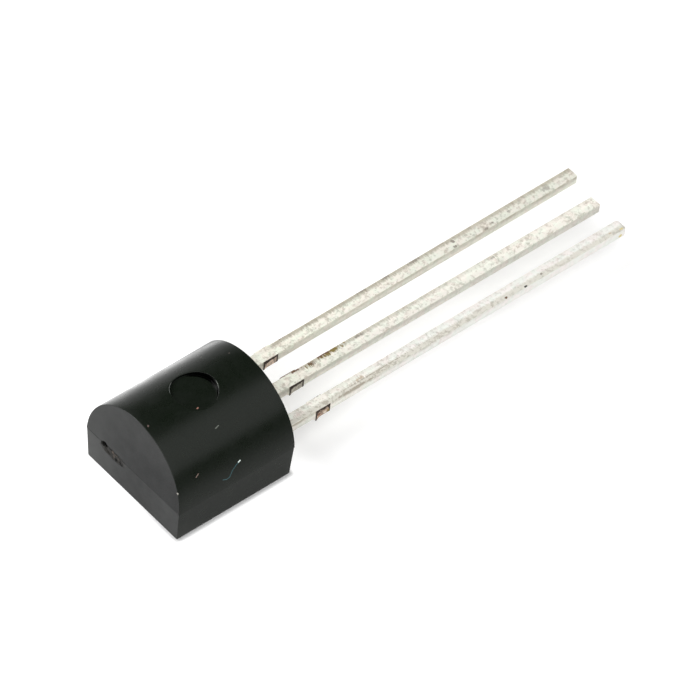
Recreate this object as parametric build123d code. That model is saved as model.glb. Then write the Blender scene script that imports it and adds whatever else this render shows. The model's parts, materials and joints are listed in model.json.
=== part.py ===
from build123d import *
import os
from math import radians, tan

# A small three-lead linear voltage regulator: a black epoxy body, D-shaped in section, moulded
# round a stamped leadframe that carries the regulator chip.
#
# Frame: +Z up, millimetres. The part lies on its flat side in the plane Z = 0, and the origin is
# the centre of that flat side. +X runs along the leads, from the body to their tips. Seen on the
# flat side with the leads pointing down, the leads are output, ground and input from left to right.

# ---- Moulded body ----
BODY_LENGTH = 4.61  # end face to end face, at the parting plane
BODY_WIDTH = 4.50  # side to side, at the parting plane
BODY_DEPTH = 3.49  # flat side to the crown of the round side
FLAT_WIDTH = 4.30  # side to side, at the flat side
PARTING_HEIGHT = 1.24  # flat side to the plane where the two mould halves met
PARTING_STEP = 0.015  # how much smaller than the upper half the lower half is, all round
END_DRAFT = 2.4  # degrees that both end faces lean in, going away from the parting plane
BODY_EDGE_RADIUS = 0.06

# Mark of the ejector pin, sunk in the crown of the round side
PIN_MARK_DIAMETER = 1.50
PIN_MARK_DEPTH = 0.20

# Scar of the broken gate, on the end face away from the leads, under the parting plane
GATE_WIDTH = 1.15
GATE_HEIGHT = 0.28
GATE_DEPTH = 0.06
GATE_OFFSET = 1.05  # middle of the body to the middle of the gate

# ---- Leads ----
LEAD_THICKNESS = 0.34  # thickness of the stamped sheet
LEAD_WIDTH = 0.44
LEAD_PITCH = 1.27
LEAD_LENGTH = 14.58  # seating face to tip, along the lead
DIE_ROLL = 0.05  # radius that the stamping left along the top edges
LEAD_BEND_RADIUS = 20.0
YAW_OFFSET = 0.75  # seating face to where a lead that is out of true sideways starts to turn

# How each lead has been pushed out of true, in degrees: up, and then towards +Y
OUTPUT_TILT = 1.12
OUTPUT_YAW = -0.17
GROUND_TILT = -0.37
GROUND_YAW = 0.30
INPUT_TILT = -0.28
INPUT_YAW = 0.31

# Stubs left on each lead where the bar that tied the leads together was sheared off
STUB_OFFSET = 1.49  # seating face to stub
STUB_LENGTH = 0.58  # along the lead
STUB_REACH = 0.03  # past the side of the lead

# ---- Leadframe inside the body ----
NOTCH_OFFSET = 0.35  # seating face to the notches that lock the lead in the resin
NOTCH_RADIUS = 0.08
POST_OFFSET = 0.75  # seating face to the post, which is the wide bonding end of an outer lead
POST_LENGTH = 1.35
POST_WIDTH = 0.80
PADDLE_OFFSET = 1.20  # seating face to the paddle, which carries the chip
PADDLE_LENGTH = 2.20
POST_GAP = 0.25  # between the paddle and each post
FRAME_CORNER_RADIUS = 0.12

# ---- Chip and its bond ----
CHIP_LENGTH = 1.40
CHIP_WIDTH = 1.05
CHIP_THICKNESS = 0.28
ATTACH_THICKNESS = 0.025
ATTACH_MARGIN = 0.05  # how far the bonding layer spreads past the chip
PAD_INSET = 0.12  # side of the chip to the middle of a bonding pad

# ---- Bond wires ----
WIRE_DIAMETER = 0.033
BALL_DIAMETER = 0.09  # flattened ball where a wire starts, on the chip
BALL_HEIGHT = 0.025
STITCH_DIAMETER = 0.09  # flattened foot where a wire ends, on the leadframe
STITCH_THICKNESS = 0.012
LOOP_HEIGHT = 0.17  # top of the chip to the top of the wire's loop
LOOP_FLAT_SHARE = 0.5  # share of the span that the wire crosses at the top of its loop
GROUND_BOND_OFFSET = 0.20  # end of the chip to the ground wire's foot on the paddle

# ---- Places that follow from the sizes ----
SEAT_X = BODY_LENGTH / 2  # seating face, where the leads leave the body
FAR_END_X = -BODY_LENGTH / 2  # end face away from the leads
FRAME_TOP = PARTING_HEIGHT  # the leadframe's top face lies in the parting plane
CHIP_TOP = FRAME_TOP + ATTACH_THICKNESS + CHIP_THICKNESS
PADDLE_X = SEAT_X - PADDLE_OFFSET - PADDLE_LENGTH / 2  # middle of the paddle and of the chip
PADDLE_WIDTH = 2 * (LEAD_PITCH - LEAD_WIDTH / 2 - POST_GAP)
POST_X = SEAT_X - POST_OFFSET - POST_LENGTH / 2
POST_SHIFT = (POST_WIDTH - LEAD_WIDTH) / 2  # a post is wider than its lead on the outer side only

ON_TOP = (Align.CENTER, Align.CENTER, Align.MIN)
BELOW = (Align.CENTER, Align.CENTER, Align.MAX)


def bent_run(inner_end, bend_offset, turn, length):
    """Centre line of a lead in one view: straight as far as the bend, then turned by some degrees."""
    bend_start = (SEAT_X + bend_offset, 0)
    if not turn:
        return Wire([Line((inner_end, 0), bend_start), Line(bend_start, (SEAT_X + length, 0))])
    bend = JernArc(bend_start, (1, 0), LEAD_BEND_RADIUS, turn)
    rest_length = length - bend_offset - bend.length
    rest = Line(bend @ 1, bend @ 1 + rest_length * (bend % 1))
    return Wire([Line((inner_end, 0), bend_start), bend, rest])


def bent_sheet(inner_end, tilt):
    """The sheet that the leads are stamped from, with its middle plane at Z = 0 in the body."""
    run = Plane.XZ * bent_run(inner_end, 0, tilt, LEAD_LENGTH + LEAD_PITCH)
    strip = Rectangle(2 * BODY_WIDTH, LEAD_THICKNESS)
    return sweep(Plane(origin=run @ 0, x_dir=(0, 1, 0), z_dir=(1, 0, 0)) * strip, path=run)


def dambar_stub(run, inner_end, yaw):
    """Flat outline of the stub, square to the run of its lead."""
    distance = SEAT_X - inner_end + STUB_OFFSET + STUB_LENGTH / 2
    middle = run.position_at(distance, position_mode=PositionMode.LENGTH)
    return Pos(middle) * Rot(0, 0, yaw) * Rectangle(STUB_LENGTH, LEAD_WIDTH + 2 * STUB_REACH)


def outer_top_outline(lead):
    """Edges that bound the top of a lead outside the body, without those between its top faces."""
    top_faces = [face for face in lead.faces() if face.normal_at().Z > 0.9]
    edges = [edge for face in top_faces for edge in face.edges() if (edge @ 0.5).X > SEAT_X]
    middles = [edge @ 0.5 for edge in edges]
    shared = [sum((middle - other).length < DIE_ROLL / 10 for other in middles) for middle in middles]
    return [edge for edge, count in zip(edges, shared) if count == 1]


def stamped_lead(y, tilt, yaw, inner_end, bonding_end):
    """One lead with its bonding end, stamped from sheet: its plan outline cut from the bent sheet."""
    run = bent_run(inner_end, YAW_OFFSET, yaw, LEAD_LENGTH)
    outline = trace(run, LEAD_WIDTH) + dambar_stub(run, inner_end, yaw) + bonding_end
    for side in (-1, 1):
        outline -= Pos(SEAT_X - NOTCH_OFFSET, side * LEAD_WIDTH / 2) * Circle(NOTCH_RADIUS)
    lead = extrude(outline, BODY_DEPTH, both=True) & bent_sheet(PADDLE_X - PADDLE_LENGTH, tilt)
    lead = fillet(outer_top_outline(lead), DIE_ROLL)
    return Pos(0, y, FRAME_TOP - LEAD_THICKNESS / 2) * lead


def post(side):
    """Flat outline of an outer lead's bonding post, widened towards one side of the body."""
    return Pos(POST_X, side * POST_SHIFT) * RectangleRounded(POST_LENGTH, POST_WIDTH, FRAME_CORNER_RADIUS)


def paddle():
    """Flat outline of the chip's paddle."""
    return Pos(PADDLE_X, 0) * RectangleRounded(PADDLE_LENGTH, PADDLE_WIDTH, FRAME_CORNER_RADIUS)


def silicon_die():
    return Pos(PADDLE_X, 0, FRAME_TOP + ATTACH_THICKNESS) * Box(
        CHIP_LENGTH, CHIP_WIDTH, CHIP_THICKNESS, align=ON_TOP
    )


def die_attach():
    """Bonding layer between the chip and its paddle."""
    return Pos(PADDLE_X, 0, FRAME_TOP) * Box(
        CHIP_LENGTH + 2 * ATTACH_MARGIN, CHIP_WIDTH + 2 * ATTACH_MARGIN, ATTACH_THICKNESS, align=ON_TOP
    )


def bond_wire(pad, foot):
    """Gold wire: a ball on the chip at pad, a loop, and a stitch on the leadframe at foot."""
    start = Vector(*pad, CHIP_TOP)
    end = Vector(*foot, FRAME_TOP)
    heading = (Vector(*foot) - Vector(*pad)).normalized()
    span = (Vector(*foot) - Vector(*pad)).length
    neck = start + Vector(0, 0, BALL_HEIGHT / 2)
    rise = start + Vector(0, 0, LOOP_HEIGHT)
    crest = rise + heading * span * LOOP_FLAT_SHARE
    past_end = end + (end - crest).normalized() * WIRE_DIAMETER
    path = Polyline(neck, rise, crest, past_end)
    section = Plane(origin=path @ 0, z_dir=path % 0) * Circle(WIRE_DIAMETER / 2)
    wire = sweep(section, path=path, transition=Transition.RIGHT)
    wire += Pos(start) * Cylinder(BALL_DIAMETER / 2, BALL_HEIGHT, align=ON_TOP)
    wire += Pos(end) * Cylinder(STITCH_DIAMETER / 2, STITCH_THICKNESS, align=ON_TOP)
    return wire - Pos(end) * Cylinder(STITCH_DIAMETER, LEAD_THICKNESS, align=BELOW)


def pin_mark():
    """What the ejector pin pressed out of the crown."""
    return Pos(0, 0, BODY_DEPTH - PIN_MARK_DEPTH) * Cylinder(
        PIN_MARK_DIAMETER / 2, BODY_DEPTH, align=ON_TOP
    )


def gate_scar():
    """Half-moon chip that the gate took with it, with its straight side in the parting plane."""
    low_y = GATE_OFFSET - GATE_WIDTH / 2
    high_y = GATE_OFFSET + GATE_WIDTH / 2
    corners = (low_y, PARTING_HEIGHT), (high_y, PARTING_HEIGHT)
    deepest = (GATE_OFFSET, PARTING_HEIGHT - GATE_HEIGHT)
    scar = make_face([Line(*corners), ThreePointArc(corners[0], deepest, corners[1])])
    return extrude(Plane.YZ.offset(FAR_END_X + PARTING_STEP) * scar, GATE_DEPTH, both=True)


def mould_half(section, end_x, way):
    """What one half of the mould shaped: way is 1 above the parting plane and -1 below it.

    The section is cut off by end faces that lean in. The half is built past the parting plane and
    then cut there, so that the rounding of its edges meets the plane cleanly.
    """
    slope = tan(radians(END_DRAFT))
    excess = PARTING_HEIGHT / 2
    open_x = end_x + excess * slope
    open_z = PARTING_HEIGHT - way * excess
    far_x = end_x - BODY_DEPTH * slope
    far_z = PARTING_HEIGHT + way * BODY_DEPTH
    corners = (open_x, open_z), (far_x, far_z), (-far_x, far_z), (-open_x, open_z)
    profile = make_face(Polyline(*corners, close=True))
    bar = extrude(Plane.YZ * section, BODY_LENGTH, both=True)
    half = bar & extrude(Plane.XZ * profile, BODY_WIDTH, both=True)

    faces_from_open = half.faces().sort_by(lambda face: way * face.center().Z)
    half = fillet(half.edges() - faces_from_open[0].edges(), BODY_EDGE_RADIUS)
    kept_side = Keep.TOP if way > 0 else Keep.BOTTOM
    return split(half, bisect_by=Plane.XY.offset(PARTING_HEIGHT), keep=kept_side)


def round_half():
    """Upper half of the moulding: an arch from side to side over the crown."""
    rise = BODY_DEPTH - PARTING_HEIGHT
    radius = (rise**2 + (BODY_WIDTH / 2) ** 2) / (2 * rise)
    section = Pos(0, BODY_DEPTH - radius) * Rot(0, 0, -90) * Circle(radius)
    return mould_half(section, SEAT_X, 1)


def flat_half():
    """Lower half of the moulding: a little smaller all round, with sides that slope to the flat."""
    half_flat = FLAT_WIDTH / 2
    half_parting = BODY_WIDTH / 2 - PARTING_STEP
    top = 2 * PARTING_HEIGHT
    half_top = 2 * half_parting - half_flat
    corners = (-half_flat, 0), (half_flat, 0), (half_top, top), (-half_top, top)
    return mould_half(make_face(Polyline(*corners, close=True)), SEAT_X - PARTING_STEP, -1)


def moulded_body(insert):
    """Resin that fills the mould round the leadframe, the chip and the wires."""
    return round_half() + flat_half() - pin_mark() - gate_scar() - insert


output_lead = stamped_lead(LEAD_PITCH, OUTPUT_TILT, OUTPUT_YAW, POST_X, post(1))
ground_lead = stamped_lead(0, GROUND_TILT, GROUND_YAW, PADDLE_X, paddle())
input_lead = stamped_lead(-LEAD_PITCH, INPUT_TILT, INPUT_YAW, POST_X, post(-1))

pad_x = CHIP_LENGTH / 2 - PAD_INSET
pad_y = CHIP_WIDTH / 2 - PAD_INSET
post_y = LEAD_PITCH + POST_SHIFT
ground_foot_x = PADDLE_X - CHIP_LENGTH / 2 - GROUND_BOND_OFFSET

parts = {
    "lead_output": output_lead,
    "lead_ground": ground_lead,
    "lead_input": input_lead,
    "die_attach": die_attach(),
    "silicon_die": silicon_die(),
    "output_wire": bond_wire((PADDLE_X + pad_x, pad_y), (POST_X, post_y)),
    "input_wire": bond_wire((PADDLE_X + pad_x, -pad_y), (POST_X, -post_y)),
    "ground_wire": bond_wire((PADDLE_X - pad_x, 0), (ground_foot_x, 0)),
}
parts["moulded_body"] = moulded_body(list(parts.values()))

os.makedirs("parts", exist_ok=True)
for node, shape in parts.items():
    export_step(shape, f"parts/{node}.step")
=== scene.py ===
import json
import math

import bmesh
import bpy
from mathutils import Matrix, Vector, noise


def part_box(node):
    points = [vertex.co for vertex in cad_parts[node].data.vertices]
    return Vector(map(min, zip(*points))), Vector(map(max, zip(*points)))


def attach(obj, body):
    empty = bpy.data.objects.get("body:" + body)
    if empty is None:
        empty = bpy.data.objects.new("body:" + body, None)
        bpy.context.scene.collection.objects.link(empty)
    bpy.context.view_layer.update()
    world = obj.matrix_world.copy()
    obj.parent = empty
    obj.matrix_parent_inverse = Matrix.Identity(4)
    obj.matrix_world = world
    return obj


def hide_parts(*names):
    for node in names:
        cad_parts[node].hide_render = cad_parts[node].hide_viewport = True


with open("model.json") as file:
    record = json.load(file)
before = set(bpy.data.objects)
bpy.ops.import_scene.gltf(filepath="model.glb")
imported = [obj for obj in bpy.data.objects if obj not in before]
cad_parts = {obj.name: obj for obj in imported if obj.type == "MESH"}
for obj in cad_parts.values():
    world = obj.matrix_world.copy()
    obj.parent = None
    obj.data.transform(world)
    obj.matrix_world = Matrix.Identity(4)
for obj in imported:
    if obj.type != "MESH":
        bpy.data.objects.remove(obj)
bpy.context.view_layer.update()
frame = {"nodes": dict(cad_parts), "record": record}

MM = 0.001

# ---- Sizes that the CAD gives, in millimetres, in its own frame ----
body_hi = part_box("moulded_body")[1]
SEAT_X = body_hi.x / MM  # seating face, where the leads leave the body
HALF_WIDTH = body_hi.y / MM
DEPTH = body_hi.z / MM
mounts = {mount["name"]: mount for mount in frame["record"]["mounts"]}
PARTING = mounts["seating_face"]["pos_m"][2] / MM  # height of the plane where the mould halves met

# ---- Moulded body, in millimetres ----
HALF_FLAT = 2.175  # half the width of the flat side
STEP = 0.008  # how far the lower half stands back from the upper one
DRAFT = math.tan(math.radians(2.4))  # how far an end face leans in for each millimetre of height
EDGE = 0.02  # radius of the edges round the end faces
FLAT_EDGE = 0.035  # radius of the edges along the flat side
GROOVE = 0.012  # depth of the seam on the end faces
GROOVE_HALF = 0.013  # half its width
SEAM_RISE = 0.02  # parting plane to the middle of the painted shade in the seam

RISE = DEPTH - PARTING
ARCH_RADIUS = (RISE**2 + HALF_WIDTH**2) / (2 * RISE)
ARCH_Z = DEPTH - ARCH_RADIUS  # height of the round side's axis

PIN_RADIUS = 0.75
PIN_DEPTH = 0.20
PIN_LIP = 0.007  # radius of the rounding at the top of the pin mark's wall
PIN_FOOT = 0.006  # radius of the rounding at its foot
PATCH = 1.02  # half the side of the square patch of mesh round the pin mark

GATE_Y = 0.97
GATE_HALF = 0.58
GATE_DEPTH = 0.045
PIT_DEPTH = 0.12
# ovals of the end face: y, z, reach in y, reach in z, how much z rises with y
TORN = (0.97, 1.115, 0.56, 0.20, 0.02)
PIT = (1.39, 1.215, 0.15, 0.125, -0.2)

# ---- Leads, in millimetres ----
LEAD_T = 0.34
LEAD_W = 0.44
PITCH = 1.27
LEAD_LENGTH = 14.58
BEND_RADIUS = 20.0
TOP_ROLL = 0.03  # radius of the edges along the top
YAW_OFFSET = 0.75  # seating face to where a lead starts to turn sideways
STUB_FROM = 1.49  # where the sheared tie bar's stub starts and ends
STUB_TO = 2.07
STUB_REACH = 0.03  # how far it stands past the side of the lead
NOTCH_AT = 0.35  # seating face to the notches that lock the lead in the resin
NOTCH_RADIUS = 0.08
# the bonding ends inside the body: where they start and end, counted from the seating face, and width
POST_FROM, POST_TO, POST_WIDTH = 0.75, 2.10, 0.80
PADDLE_FROM, PADDLE_TO, PADDLE_WIDTH = 1.20, 3.40, 1.60
FRAME_CORNER = 0.12  # radius of their corners

# each lead: place of its middle line, how far it is out of true in degrees (up, and towards +Y), seed of
# its noise, how far the burr of its stub hangs down, how round its tip is, colour of its bare copper, how
# light its sides are beside its top, as painted shade, and then pairs of a value near the body and one
# towards the tip:
# light: how light the tin is, as painted light
# blue: how much blue is in it; mottle: how strong its mottle is
# grime and rim: how much grime lies on the +Y part of the top, and on its very edge
# shade: how much painted shade lies on the -Y part of the top; line: how dark the line under that edge is
# hem: how light the lower part of the sides is, as painted light and shade
LEADS = {
    "lead_output": dict(
        y=PITCH, tilt=1.12, yaw=-0.17, seed=3.0, burr=0.05, tip=0.03, bare=(0.80, 0.63, 0.48), side=0.93,
        light=(1.0, 0.84), blue=(0.98, 1.0), mottle=(1.0, 1.0), grime=(0.95, 0.75), rim=(0.0, 0.75),
        shade=(0.0, 0.0), line=(0.30, 0.50), hem=(1.02, 1.14),
    ),
    "lead_ground": dict(
        y=0.0, tilt=-0.37, yaw=0.30, seed=11.0, burr=0.08, tip=0.03, bare=(0.62, 0.58, 0.47), side=0.90,
        light=(0.97, 1.02), blue=(0.99, 1.02), mottle=(1.0, 1.0), grime=(0.80, 0.15), rim=(0.30, 0.75),
        shade=(0.2, 0.25), line=(0.30, 0.15), hem=(1.18, 1.0),
    ),
    "lead_input": dict(
        y=-PITCH, tilt=-0.28, yaw=0.31, seed=23.0, burr=0.13, tip=0.13, bare=(0.48, 0.35, 0.25), side=0.96,
        light=(1.02, 0.97), blue=(1.02, 1.07), mottle=(1.0, 0.6), grime=(0.22, 0.10), rim=(0.10, 0.15),
        shade=(0.9, 0.8), line=(0.66, 0.0), hem=(0.90, 1.0),
    ),
}

BROWN = (0.16, 0.09, 0.05, 1)
OLIVE = (0.25, 0.19, 0.06, 1)
OCHRE = (0.72, 0.62, 0.28, 1)
RUST = (0.24, 0.11, 0.07, 1)
TAN = (0.60, 0.51, 0.40, 1)
PALE = (0.66, 0.58, 0.47, 1)
ROSE = (0.72, 0.64, 0.58, 1)
DRAB = (0.43, 0.38, 0.31, 1)
HAZE = (0.47, 0.45, 0.39, 1)
DUSK = (0.34, 0.31, 0.26, 1)
SOOT = (0.06, 0.06, 0.05, 1)
# marks on the leads: distance from the seating face, place across, height, half length, half width,
# how solid the mark is, colour
MARKS = {
    "lead_output": [
        (9.52, 0.06, 0.0, 0.09, 0.10, 0.55, DUSK),
        (9.42, -0.17, 0.0, 0.08, 0.06, 0.9, DUSK),
        (10.7, -0.19, 0.0, 0.14, 0.06, 0.55, DUSK),
        (11.0, -0.11, 0.0, 0.12, 0.07, 0.5, DUSK),
        (11.8, -0.05, 0.0, 0.15, 0.08, 0.42, HAZE),
        (13.35, -0.01, 0.0, 0.34, 0.15, 0.35, HAZE),
        (6.83, 0.17, 0.0, 0.24, 0.06, 0.5, DUSK),
        (5.79, 0.17, 0.0, 0.32, 0.05, 0.45, DUSK),
        (8.0, 0.16, 0.0, 0.5, 0.08, 0.4, DUSK),
        (2.6, 0.21, 0.0, 0.45, 0.05, 0.3, BROWN),
    ],
    "lead_ground": [
        (3.48, 0.17, 0.0, 0.66, 0.16, 0.55, OLIVE),
        (3.22, 0.20, 0.0, 0.40, 0.10, 0.45, BROWN),
        (2.64, 0.10, 0.0, 0.24, 0.16, 0.42, BROWN),
        (2.55, 0.05, 0.0, 0.30, 0.16, 0.25, OLIVE),
        (2.10, 0.19, 0.0, 0.30, 0.07, 0.6, BROWN),
        (1.55, 0.24, 0.0, 0.40, 0.04, 0.6, BROWN),
        (1.95, 0.23, 0.0, 0.55, 0.05, 0.35, BROWN),
        (4.65, 0.12, 0.0, 0.28, 0.09, 0.4, DUSK),
        (10.23, 0.11, 0.0, 0.16, 0.08, 0.45, HAZE),
    ],
    "lead_input": [
        (3.45, 0.00, 0.0, 0.35, 0.10, 0.35, TAN),
        (3.9, -0.085, 0.0, 1.9, 0.024, 0.5, DRAB),
        (3.1, -0.215, -0.03, 0.8, 0.05, 0.8, DRAB),
        (1.0, -0.02, 0.0, 0.30, 0.20, 0.3, ROSE),
        (1.62, -0.25, -0.22, 0.07, 0.05, 1.0, RUST),
        (1.86, -0.25, -0.27, 0.07, 0.05, 1.0, PALE),
        (2.00, -0.25, -0.27, 0.05, 0.05, 1.0, OLIVE),
        (13.95, -0.10, 0.0, 0.07, 0.03, 0.7, TAN),
        (9.42, -0.19, 0.0, 0.06, 0.042, 0.7, BROWN),
        (10.25, -0.20, 0.0, 0.065, 0.034, 0.8, SOOT),
        (11.0, -0.09, 0.0, 0.05, 0.04, 0.9, DUSK),
        (14.38, -0.17, -0.01, 0.08, 0.03, 1.0, OCHRE),
        (14.33, -0.22, -0.26, 0.08, 0.03, 0.9, OCHRE),
        (1.95, 0.23, 0.0, 0.50, 0.04, 0.3, BROWN),
    ],
}


def link(name, data):
    """A new object in the scene, with a mesh, a lamp or a camera for its data."""
    obj = bpy.data.objects.new(name, data)
    bpy.context.scene.collection.objects.link(obj)
    return obj


def mesh_from(name, verts, faces, smooth_angle):
    """A closed mesh from millimetre points, with its faces outwards, shaded smooth below an angle."""
    mesh = bpy.data.meshes.new(name)
    mesh.from_pydata([(x * MM, y * MM, z * MM) for x, y, z in verts], [], faces)
    bm = bmesh.new()
    bm.from_mesh(mesh)
    bmesh.ops.recalc_face_normals(bm, faces=bm.faces)
    if bm.calc_volume(signed=True) < 0:
        bmesh.ops.reverse_faces(bm, faces=bm.faces)
    limit = math.radians(smooth_angle)
    for edge in bm.edges:
        edge.smooth = edge.calc_face_angle(math.pi) < limit
    for face in bm.faces:
        face.smooth = True
    bm.to_mesh(mesh)
    bm.free()
    mesh.update()
    return mesh


def spread(*knots):
    """Numbers through knots given as value, then count of steps to the next value, and so on."""
    values = [knots[0]]
    for count, end in zip(knots[1::2], knots[2::2]):
        start = values[-1]
        values += [start + (end - start) * (k + 1) / count for k in range(count)]
    return values


def nearest_index(values, wanted):
    return min(range(len(values)), key=lambda k: abs(values[k] - wanted))


def bridge(faces, ring, next_ring):
    """Faces between two closed rings of as many points."""
    count = len(ring)
    for i in range(count):
        j = (i + 1) % count
        faces.append((ring[i], ring[j], next_ring[j], next_ring[i]))


def fan(faces, ring, hub):
    """Faces from a closed ring to one point."""
    for i in range(len(ring)):
        faces.append((ring[i], ring[(i + 1) % len(ring)], hub))


def ripple(x, y, z, scale, octaves=3):
    roughness, gain = 0.9, 2.0
    return noise.fractal(Vector((x, y, z)) * scale, roughness, gain, octaves)


# ---- Moulded body ----
def upper_contour():
    """Points (y, z, ny, nz) of the round half, from the +Y parting corner to the -Y one.

    Also the indices of the two points between which the patch round the pin mark lies.
    """
    start = math.asin(max(-1.0, min(1.0, (PARTING - ARCH_Z) / ARCH_RADIUS)))
    side = math.acos(PATCH / ARCH_RADIUS)
    near = start + GROOVE_HALF / ARCH_RADIUS
    angles = spread(start, 1, near, 34, side, 28, math.pi - side, 34, math.pi - near, 1, math.pi - start)
    points = []
    for angle in angles:
        ny, nz = math.cos(angle), math.sin(angle)
        points.append((ARCH_RADIUS * ny, ARCH_Z + ARCH_RADIUS * nz, ny, nz))
    return points, nearest_index(angles, side), nearest_index(angles, math.pi - side)


def lower_contour():
    """Points (y, z, ny, nz) of the flat half, from the -Y parting corner to the +Y one."""
    top = HALF_WIDTH - STEP
    lean = math.atan2(top - HALF_FLAT, PARTING)
    turn = math.pi / 2 + lean
    centre_y = HALF_FLAT - FLAT_EDGE * math.tan(turn / 2)
    points = []

    def side(y_sign, heights):
        for z in heights:
            y = HALF_FLAT + (top - HALF_FLAT) * z / PARTING
            points.append((y_sign * y, z, y_sign * math.cos(lean), -math.sin(lean)))

    def corner(y_sign, shares):
        for share in shares:
            angle = -lean - turn * share
            ny, nz = math.cos(angle), math.sin(angle)
            points.append((y_sign * (centre_y + FLAT_EDGE * ny), FLAT_EDGE + FLAT_EDGE * nz, y_sign * ny, nz))

    low = FLAT_EDGE * (1 - math.sin(lean)) + 0.02
    side(-1, spread(PARTING, 1, PARTING - GROOVE_HALF, 14, low))
    corner(-1, spread(0.0, 5, 1.0))
    for y in spread(-centre_y, 36, centre_y)[1:-1]:
        points.append((y, 0.0, 0.0, -1.0))
    corner(1, reversed(spread(0.0, 5, 1.0)))
    side(1, reversed(spread(PARTING, 1, PARTING - GROOVE_HALF, 34, 0.45, 6, low)))
    return points


def gate_dent(y, z):
    """Depth of the broken gate's scar at a point of the end face."""
    if abs(y - GATE_Y) > GATE_HALF + 0.1 or not 0.8 < z < 1.5:
        return 0.0
    depth = 0.0
    for (at_y, at_z, reach_y, reach_z, slope), deep in ((TORN, GATE_DEPTH), (PIT, PIT_DEPTH)):
        off = math.hypot((y - at_y) / reach_y, (z - at_z - slope * (y - at_y)) / reach_z)
        depth = max(depth, deep * min(1.0, max(0.0, (1.1 - off) / 0.4)))
    return depth * (0.8 + 0.4 * ripple(y, z, 8.0, 7.0))


def lean_in(end_x, z):
    """Where an end face that stands at end_x in the parting plane lies at height z."""
    return end_x - abs(z - PARTING) * DRAFT


def end_place(sign, share):
    """Place of a point on an end face, on a ring shrunk to a share of its size."""
    def place(end_x, y, z, ny, nz):
        y = (y - EDGE * ny) * share
        z = PARTING + (z - EDGE * nz - PARTING) * share
        x = lean_in(end_x, z)
        if abs(z - PARTING) < 1e-6:
            x -= GROOVE
        if sign < 0:
            x -= gate_dent(y, z)
        return sign * x, y, z
    return place


def rim_place(sign, angle):
    """Place of a point on the rounded edge of an end face, angle round it from the face."""
    def place(end_x, y, z, ny, nz):
        inset = EDGE * (1 - math.cos(angle))
        y -= inset * ny
        z -= inset * nz
        return sign * (lean_in(end_x, z) - EDGE * (1 - math.sin(angle))), y, z
    return place


def barrel_place(x):
    """Place of a point on the sides of the body, at one distance along it."""
    def place(end_x, y, z, ny, nz):
        return x, y, z
    return place


def above(x, y):
    """Point of the round side above a point in plan."""
    return x, y, ARCH_Z + math.sqrt(ARCH_RADIUS**2 - y * y)


def pin_mark_loops(outline):
    """Closed loops of points from the outline of the patch to the middle of the pin mark's floor."""
    floor_z = DEPTH - PIN_DEPTH
    outer = PIN_RADIUS + PIN_LIP
    reaches = [math.hypot(x, y) for x, y, z in outline]
    around = [(x / reach, y / reach) for (x, y, z), reach in zip(outline, reaches)]
    loops = []
    for share in spread(0.0, 7, 1.0)[1:]:
        radii = [reach + (outer - reach) * share for reach in reaches]
        loops.append([above(cx * radius, cy * radius) for (cx, cy), radius in zip(around, radii)])
    tops = [above(cx * outer, cy * outer)[2] for cx, cy in around]
    for angle in (math.pi / 8, math.pi / 4, 3 * math.pi / 8, math.pi / 2):
        radius = outer - PIN_LIP * math.sin(angle)
        drop = PIN_LIP * (1 - math.cos(angle))
        loops.append([(cx * radius, cy * radius, top - drop) for (cx, cy), top in zip(around, tops)])
    low = floor_z + PIN_FOOT
    for share in (0.04, 0.5, 0.96, 1.0):
        heights = [top - PIN_LIP + (low - top + PIN_LIP) * share for top in tops]
        loops.append([(cx * PIN_RADIUS, cy * PIN_RADIUS, z) for (cx, cy), z in zip(around, heights)])
    for angle in (math.pi / 6, math.pi / 3, math.pi / 2):
        radius = PIN_RADIUS - PIN_FOOT * (1 - math.cos(angle))
        z = floor_z + PIN_FOOT * (1 - math.sin(angle))
        loops.append([(cx * radius, cy * radius, z) for cx, cy in around])
    for share in (0.85, 0.65, 0.4, 0.15):
        radius = PIN_RADIUS * share
        loops.append([(cx * radius, cy * radius, floor_z) for cx, cy in around])
    return loops, (0, 0, floor_z)


def close_end(verts, faces, ring, sign, upper_count):
    """Close an end face with one middle point for each half of the mould."""
    hub_upper, hub_lower = len(verts), len(verts) + 1
    verts.append((sign * SEAT_X, 0, PARTING))
    verts.append((sign * (SEAT_X - STEP), 0, PARTING))
    for i in range(len(ring)):
        j = (i + 1) % len(ring)
        if i == upper_count - 1:
            faces.append((ring[i], ring[j], hub_lower, hub_upper))
        elif j == 0:
            faces.append((ring[i], ring[j], hub_upper, hub_lower))
        else:
            faces.append((ring[i], ring[j], hub_upper if i < upper_count else hub_lower))


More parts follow.
